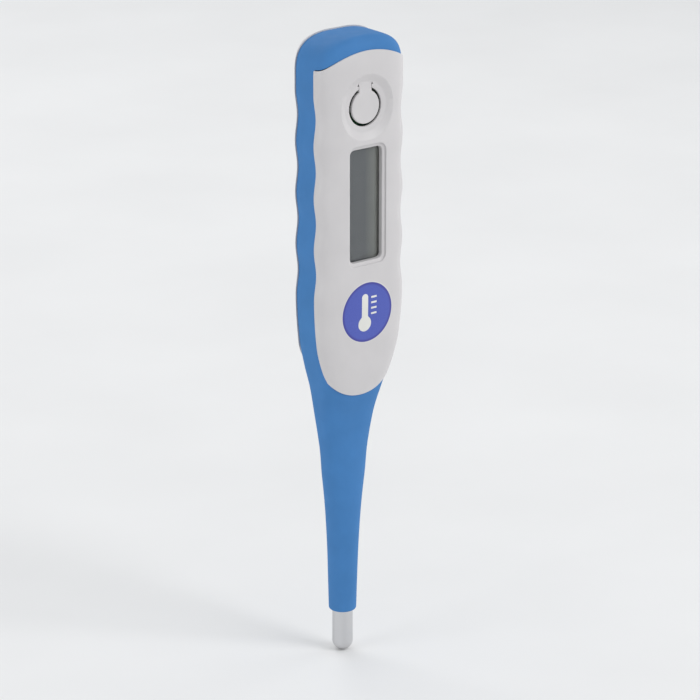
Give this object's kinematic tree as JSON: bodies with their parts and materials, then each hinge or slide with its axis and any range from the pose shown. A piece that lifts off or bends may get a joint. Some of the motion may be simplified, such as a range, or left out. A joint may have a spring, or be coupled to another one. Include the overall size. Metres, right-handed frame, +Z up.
{
  "type": "digital thermometer",
  "caption": "Slim pen-shaped electronic thermometer with a display, a push button, soft finger grips and a flexible neck that ends in a steel probe tip.",
  "frame": {"origin": "on the probe's axis, where the bare steel tip leaves the flexible neck", "axes": "+Z runs up the length away from the tip, -Y is the front with the display, +X is to the reader's right"},
  "size_m": [0.0234, 0.0125, 0.1448],
  "materials": {
    "cover_grey": "satin moulded ABS, light warm grey",
    "soft_blue": "matte soft-touch thermoplastic elastomer, mid blue",
    "steel": "polished stainless steel",
    "window_clear": "clear acrylic window",
    "display": "grey liquid crystal cell",
    "badge_print": "printed violet-blue disc",
    "frame_white": "white moulded ABS",
    "board": "green glass-epoxy laminate",
    "elastomer": "striped conductive elastomer",
    "screw_steel": "plated steel",
    "coating": "black epoxy",
    "ceramic_chip": "brown ceramic chips",
    "buzzer_brass": "bare brass",
    "buzzer_white": "silvered piezo ceramic",
    "contact": "plated spring strip",
    "cell_steel": "nickel-plated steel",
    "sensor_glass": "epoxy-coated bead",
    "wire": "enamelled wire",
    "potting": "epoxy resin"
  },
  "bodies": {
    "housing": {"front_cover": "cover_grey", "rear_cover": "cover_grey", "soft_body": "soft_blue", "lcd_window": "window_clear", "lcd_panel": "display", "round_badge": "badge_print", "inner_frame": "frame_white", "lcd_holder": "frame_white", "circuit_board": "board", "contact_strips": "elastomer", "board_screws": "screw_steel", "chip_coating": "coating", "chip_components": "ceramic_chip", "switch_dome": "screw_steel", "buzzer_plate": "buzzer_brass", "buzzer_ceramic": "buzzer_white", "buzzer_springs": "contact", "battery": "cell_steel", "battery_contact_negative": "contact", "battery_contact_positive": "contact", "thermistor_leads": "wire"},
    "button": {"button": "cover_grey"},
    "battery_door": {"battery_door": "cover_grey"},
    "neck_1": {"neck_link_1": "soft_blue"},
    "neck_2": {"neck_link_2": "soft_blue"},
    "neck_3": {"neck_link_3": "soft_blue"},
    "neck_4": {"neck_link_4": "soft_blue"},
    "neck_5": {"neck_link_5": "soft_blue"},
    "probe": {"neck_end": "soft_blue", "probe_tip": "steel", "thermistor": "sensor_glass", "tip_potting": "potting"}
  },
  "joints": [
    {"name": "button_press", "type": "hinge", "parent": "housing", "child": "button", "pos_m": [0, -0.008, 0.1242], "axis": [1, 0, 0], "range_deg": [0, 4.5], "stiffness_Nm_per_rad": 0.25, "deforming": ["switch_dome"]},
    {"name": "door_slide", "type": "slide", "parent": "housing", "child": "battery_door", "axis": [0, 0, 1], "range_m": [0, 0.022]},
    {"name": "neck_bend_1", "type": "hinge", "parent": "housing", "child": "neck_1", "pos_m": [0, 0, 0.03708], "axis": [1, 0, 0], "range_deg": [-15, 15], "stiffness_Nm_per_rad": 0.08, "deforming": ["thermistor_leads"]},
    {"name": "neck_sway_1", "type": "hinge", "parent": "neck_1", "child": "neck_2", "pos_m": [0, 0, 0.03125], "axis": [0, 1, 0], "range_deg": [-10, 10], "stiffness_Nm_per_rad": 0.08},
    {"name": "neck_bend_2", "type": "hinge", "parent": "neck_2", "child": "neck_3", "pos_m": [0, 0, 0.02542], "axis": [1, 0, 0], "range_deg": [-15, 15], "stiffness_Nm_per_rad": 0.08},
    {"name": "neck_sway_2", "type": "hinge", "parent": "neck_3", "child": "neck_4", "pos_m": [0, 0, 0.01958], "axis": [0, 1, 0], "range_deg": [-10, 10], "stiffness_Nm_per_rad": 0.08},
    {"name": "neck_bend_3", "type": "hinge", "parent": "neck_4", "child": "neck_5", "pos_m": [0, 0, 0.01375], "axis": [1, 0, 0], "range_deg": [-15, 15], "stiffness_Nm_per_rad": 0.08},
    {"name": "neck_sway_3", "type": "hinge", "parent": "neck_5", "child": "probe", "pos_m": [0, 0, 0.00792], "axis": [0, 1, 0], "range_deg": [-10, 10], "stiffness_Nm_per_rad": 0.08}
  ],
  "couplings": [
    {"joint": "neck_bend_2", "follows": "neck_bend_1", "ratio": 1},
    {"joint": "neck_sway_2", "follows": "neck_sway_1", "ratio": 1},
    {"joint": "neck_bend_3", "follows": "neck_bend_1", "ratio": 1},
    {"joint": "neck_sway_3", "follows": "neck_sway_1", "ratio": 1}
  ]
}
